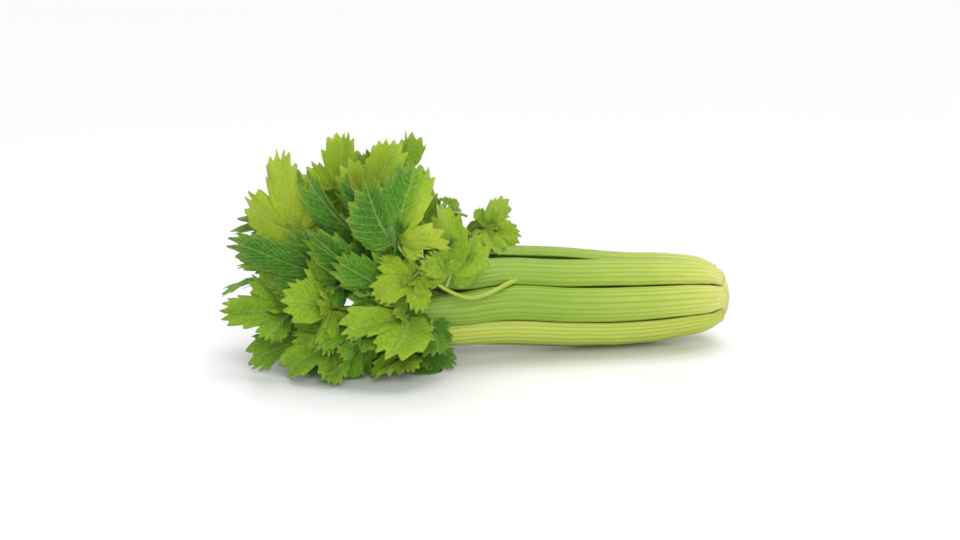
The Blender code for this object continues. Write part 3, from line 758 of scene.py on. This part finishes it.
def make_leaf(name, seed, tone, split=0.0, grow=1.0, fold=0.30, ruffle=1.0, droop=0.10):
    """One leaf: its stem and midrib, its blade and two small side blades low on the stem."""
    knots, face, half = leaf_of(name)
    draw = np.random.default_rng(seed)
    length = np.linalg.norm(knots[3] - knots[0])
    half = half * grow
    start = 0.17
    parts = [blade(lambda t: bezier(knots, start + (1.03 - start) * t), face, half * 1.22, seed,
                   tone, split, fold, ruffle, droop)]
    base = bezier(knots, np.array([0.13, 0.17]))
    forward = unit(base[1] - base[0])
    for hand in (-1, 1):
        sideways = np.cross(forward, across(face, forward)) * hand
        reach = length * draw.uniform(0.42, 0.55)
        heading = unit(forward * draw.uniform(0.5, 1.0) + sideways)
        root = base[0]
        tip = root + heading * reach + face * draw.uniform(-0.25, 0.25) * reach
        small = np.array([root, root + 0.28 * reach * sideways + 0.1 * reach * forward,
                          mix(root, tip, 0.7) + 0.12 * reach * face, tip])
        look = unit(face + 0.40 * draw.standard_normal(3))
        parts.append(blade(lambda t, small=small: bezier(small, 0.1 + 0.9 * t), look,
                           half * draw.uniform(0.52, 0.66), seed + 31 + hand,
                           np.clip(tone + draw.uniform(-0.14, 0.10), 0, 1), split, 0.35, 1.0, 0.10,
                           61, 9))
    taper = np.linspace(0.0, 0.90, 28)
    radii = 0.0011 * np.interp(taper, (0, 0.12, 0.3, 0.90), (1.15, 0.95, 0.55, 0.18))
    all_points, all_quads, all_tris, leaf, rim, under, stem = [], [], [], [], [], [], []
    offset = 0
    for skin, quads, marks, edge, below in parts:
        all_points.append(skin)
        all_quads.append(quads + offset)
        leaf.append(marks)
        rim.append(edge)
        under.append(below)
        stem.append(np.zeros(len(skin)))
        offset += len(skin)
    # the midrib follows the creased blade's valley
    rail = bezier(knots, taper)
    sag = droop * length * np.clip((taper - start) / (1.03 - start), 0, 1) ** 2.4
    rail = rail - (sag + 0.0002)[:, None] * np.array([f[1] for f in frames_facing(rail, face)])
    rod, quads, tris = tube(rest_on_floor(rail, 0.0014), radii)
    quads, tris = turned_out(rod, quads, tris)
    all_points.append(rod)
    all_quads.append(quads + offset)
    all_tris.append(tris + offset)
    leaf.append(np.stack([np.zeros(len(rod)), np.zeros(len(rod)), np.full(len(rod), tone)], axis=1))
    rim.append(np.zeros(len(rod)))
    under.append(np.zeros(len(rod)))
    stem.append(np.full(len(rod), 0.9))
    piece("celery_" + name, np.concatenate(all_points), np.concatenate(all_quads),
          np.concatenate(all_tris), LEAF, name, {
              "leaf": np.concatenate(leaf), "rim": np.concatenate(rim),
              "under": np.concatenate(under), "stem": np.concatenate(stem)})


# Each leaf: tone from 0 (darkest green) to 1 (yellow-green), partly the leaf's own colour and partly painted
# light and shade (lighter for leaves seen lit, darker for leaves seen in shadow); split paints one half lit
# and one shaded; and what else sets it apart.
LEAVES = {
    "a1": dict(tone=0.80), "a2": dict(tone=0.62), "a3": dict(tone=0.30),
    # a4's split paints one half of its blade lit and the other half shaded
    "a4": dict(tone=0.62, split=0.28, grow=1.3, fold=0.55), "a5": dict(tone=0.72),
    "a6": dict(tone=0.74, grow=1.20), "b1": dict(tone=0.66, grow=1.35),
    "b2": dict(tone=0.70, grow=1.15), "b3": dict(tone=0.42, grow=1.20), "b4": dict(tone=0.50),
    "b5": dict(tone=0.42), "c1": dict(tone=0.60), "c2": dict(tone=0.52), "c3": dict(tone=0.66),
    "c4": dict(tone=0.34), "d1": dict(tone=0.55), "d2": dict(tone=0.42), "d3": dict(tone=0.30),
    "e1": dict(tone=0.48), "e2": dict(tone=0.40, grow=1.05), "e3": dict(tone=0.42),
    "f1": dict(tone=0.55), "f2": dict(tone=0.46), "f3": dict(tone=0.60), "f4": dict(tone=0.50),
    "g1": dict(tone=0.62), "g2": dict(tone=0.46), "g3": dict(tone=0.58, grow=1.60),
    "g4": dict(tone=0.72, grow=1.00, droop=0.25), "g5": dict(tone=0.74, grow=1.10, droop=0.34),
    "h1": dict(tone=0.78), "h2": dict(tone=0.34), "i1": dict(tone=0.86, grow=0.85, droop=0.20),
    "i2": dict(tone=0.32), "i3": dict(tone=0.36, grow=1.20), "j1": dict(tone=0.60),
    "k1": dict(tone=0.50), "k2": dict(tone=0.42), "l1": dict(tone=0.44, grow=0.85),
    "m1": dict(tone=0.60), "n1": dict(tone=0.50),
}

make_butt()
make_side_stems(make_stalks())
for number, node in enumerate(sorted(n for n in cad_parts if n.startswith("leaflet_"))):
    make_leaf(node, 1000 + 10 * number, **LEAVES[node.split("_")[1]])


# Stage, lights and camera --------------------------------------------------------------------
def make_floor():
    mesh = bpy.data.meshes.new("studio_floor")
    reach = 6.0
    mesh.from_pydata([(-reach, -reach, 0), (reach, -reach, 0), (reach, reach, 0), (-reach, reach, 0)],
                     [], [(0, 1, 2, 3)])
    mesh.materials.append(floor_material())
    floor = bpy.data.objects.new("studio_floor", mesh)
    bpy.context.scene.collection.objects.link(floor)


def area_light(name, where, aim, size, power, tint=(1.0, 1.0, 1.0)):
    data = bpy.data.lights.new(name, "AREA")
    data.shape, data.size, data.energy, data.color = "DISK", size, power, tint
    lamp = bpy.data.objects.new(name, data)
    lamp.location = where
    lamp.rotation_euler = (Vector(where) - Vector(aim)).to_track_quat("Z", "Y").to_euler()
    bpy.context.scene.collection.objects.link(lamp)


def make_camera(target, azimuth, elevation, distance, lens):
    az, el = math.radians(azimuth), math.radians(elevation)
    back = Vector((math.sin(az) * math.cos(el), -math.cos(az) * math.cos(el), math.sin(el)))
    data = bpy.data.cameras.new("camera")
    data.sensor_width, data.lens = 36.0, lens
    camera = bpy.data.objects.new("camera", data)
    camera.location = Vector(target) + back * distance
    camera.rotation_euler = back.to_track_quat("Z", "Y").to_euler()
    bpy.context.scene.collection.objects.link(camera)
    bpy.context.scene.camera = camera


def make_world():
    """A white studio: bright low down all round, dimmer overhead."""
    world = bpy.data.worlds.new("studio")
    world.use_nodes = True
    tree = world.node_tree
    where = tree.nodes.new("ShaderNodeTexCoord")
    split = tree.nodes.new("ShaderNodeSeparateXYZ")
    ramp = tree.nodes.new("ShaderNodeValToRGB")
    tree.links.new(where.outputs["Generated"], split.inputs[0])
    tree.links.new(split.outputs["Z"], ramp.inputs["Fac"])
    tree.links.new(ramp.outputs[0], tree.nodes["Background"].inputs["Color"])
    low, high = ramp.color_ramp.elements
    low.position, low.color = 0.22, (1.0, 1.0, 1.0, 1.0)
    high.position, high.color = 0.70, (0.36, 0.36, 0.37, 1.0)
    bpy.context.scene.world = world


def make_sun(direction, strength, spread):
    data = bpy.data.lights.new("softbox_sun", "SUN")
    data.energy, data.angle = strength, math.radians(spread)
    sun = bpy.data.objects.new("softbox_sun", data)
    sun.rotation_euler = Vector(direction).to_track_quat("Z", "Y").to_euler()
    bpy.context.scene.collection.objects.link(sun)


make_floor()
make_world()
make_sun((0.12, 0.20, 1.0), 2.0, 55.0)
area_light("front", (-0.10, -1.20, 0.75), (0, 0, 0.08), 0.80, 9.0)
bpy.context.scene.view_settings.view_transform = "Standard"
make_camera(ANCHOR + np.array((-0.218, -0.010, 0.0755)), -11.0, 14.0, 1.300, 58.0)
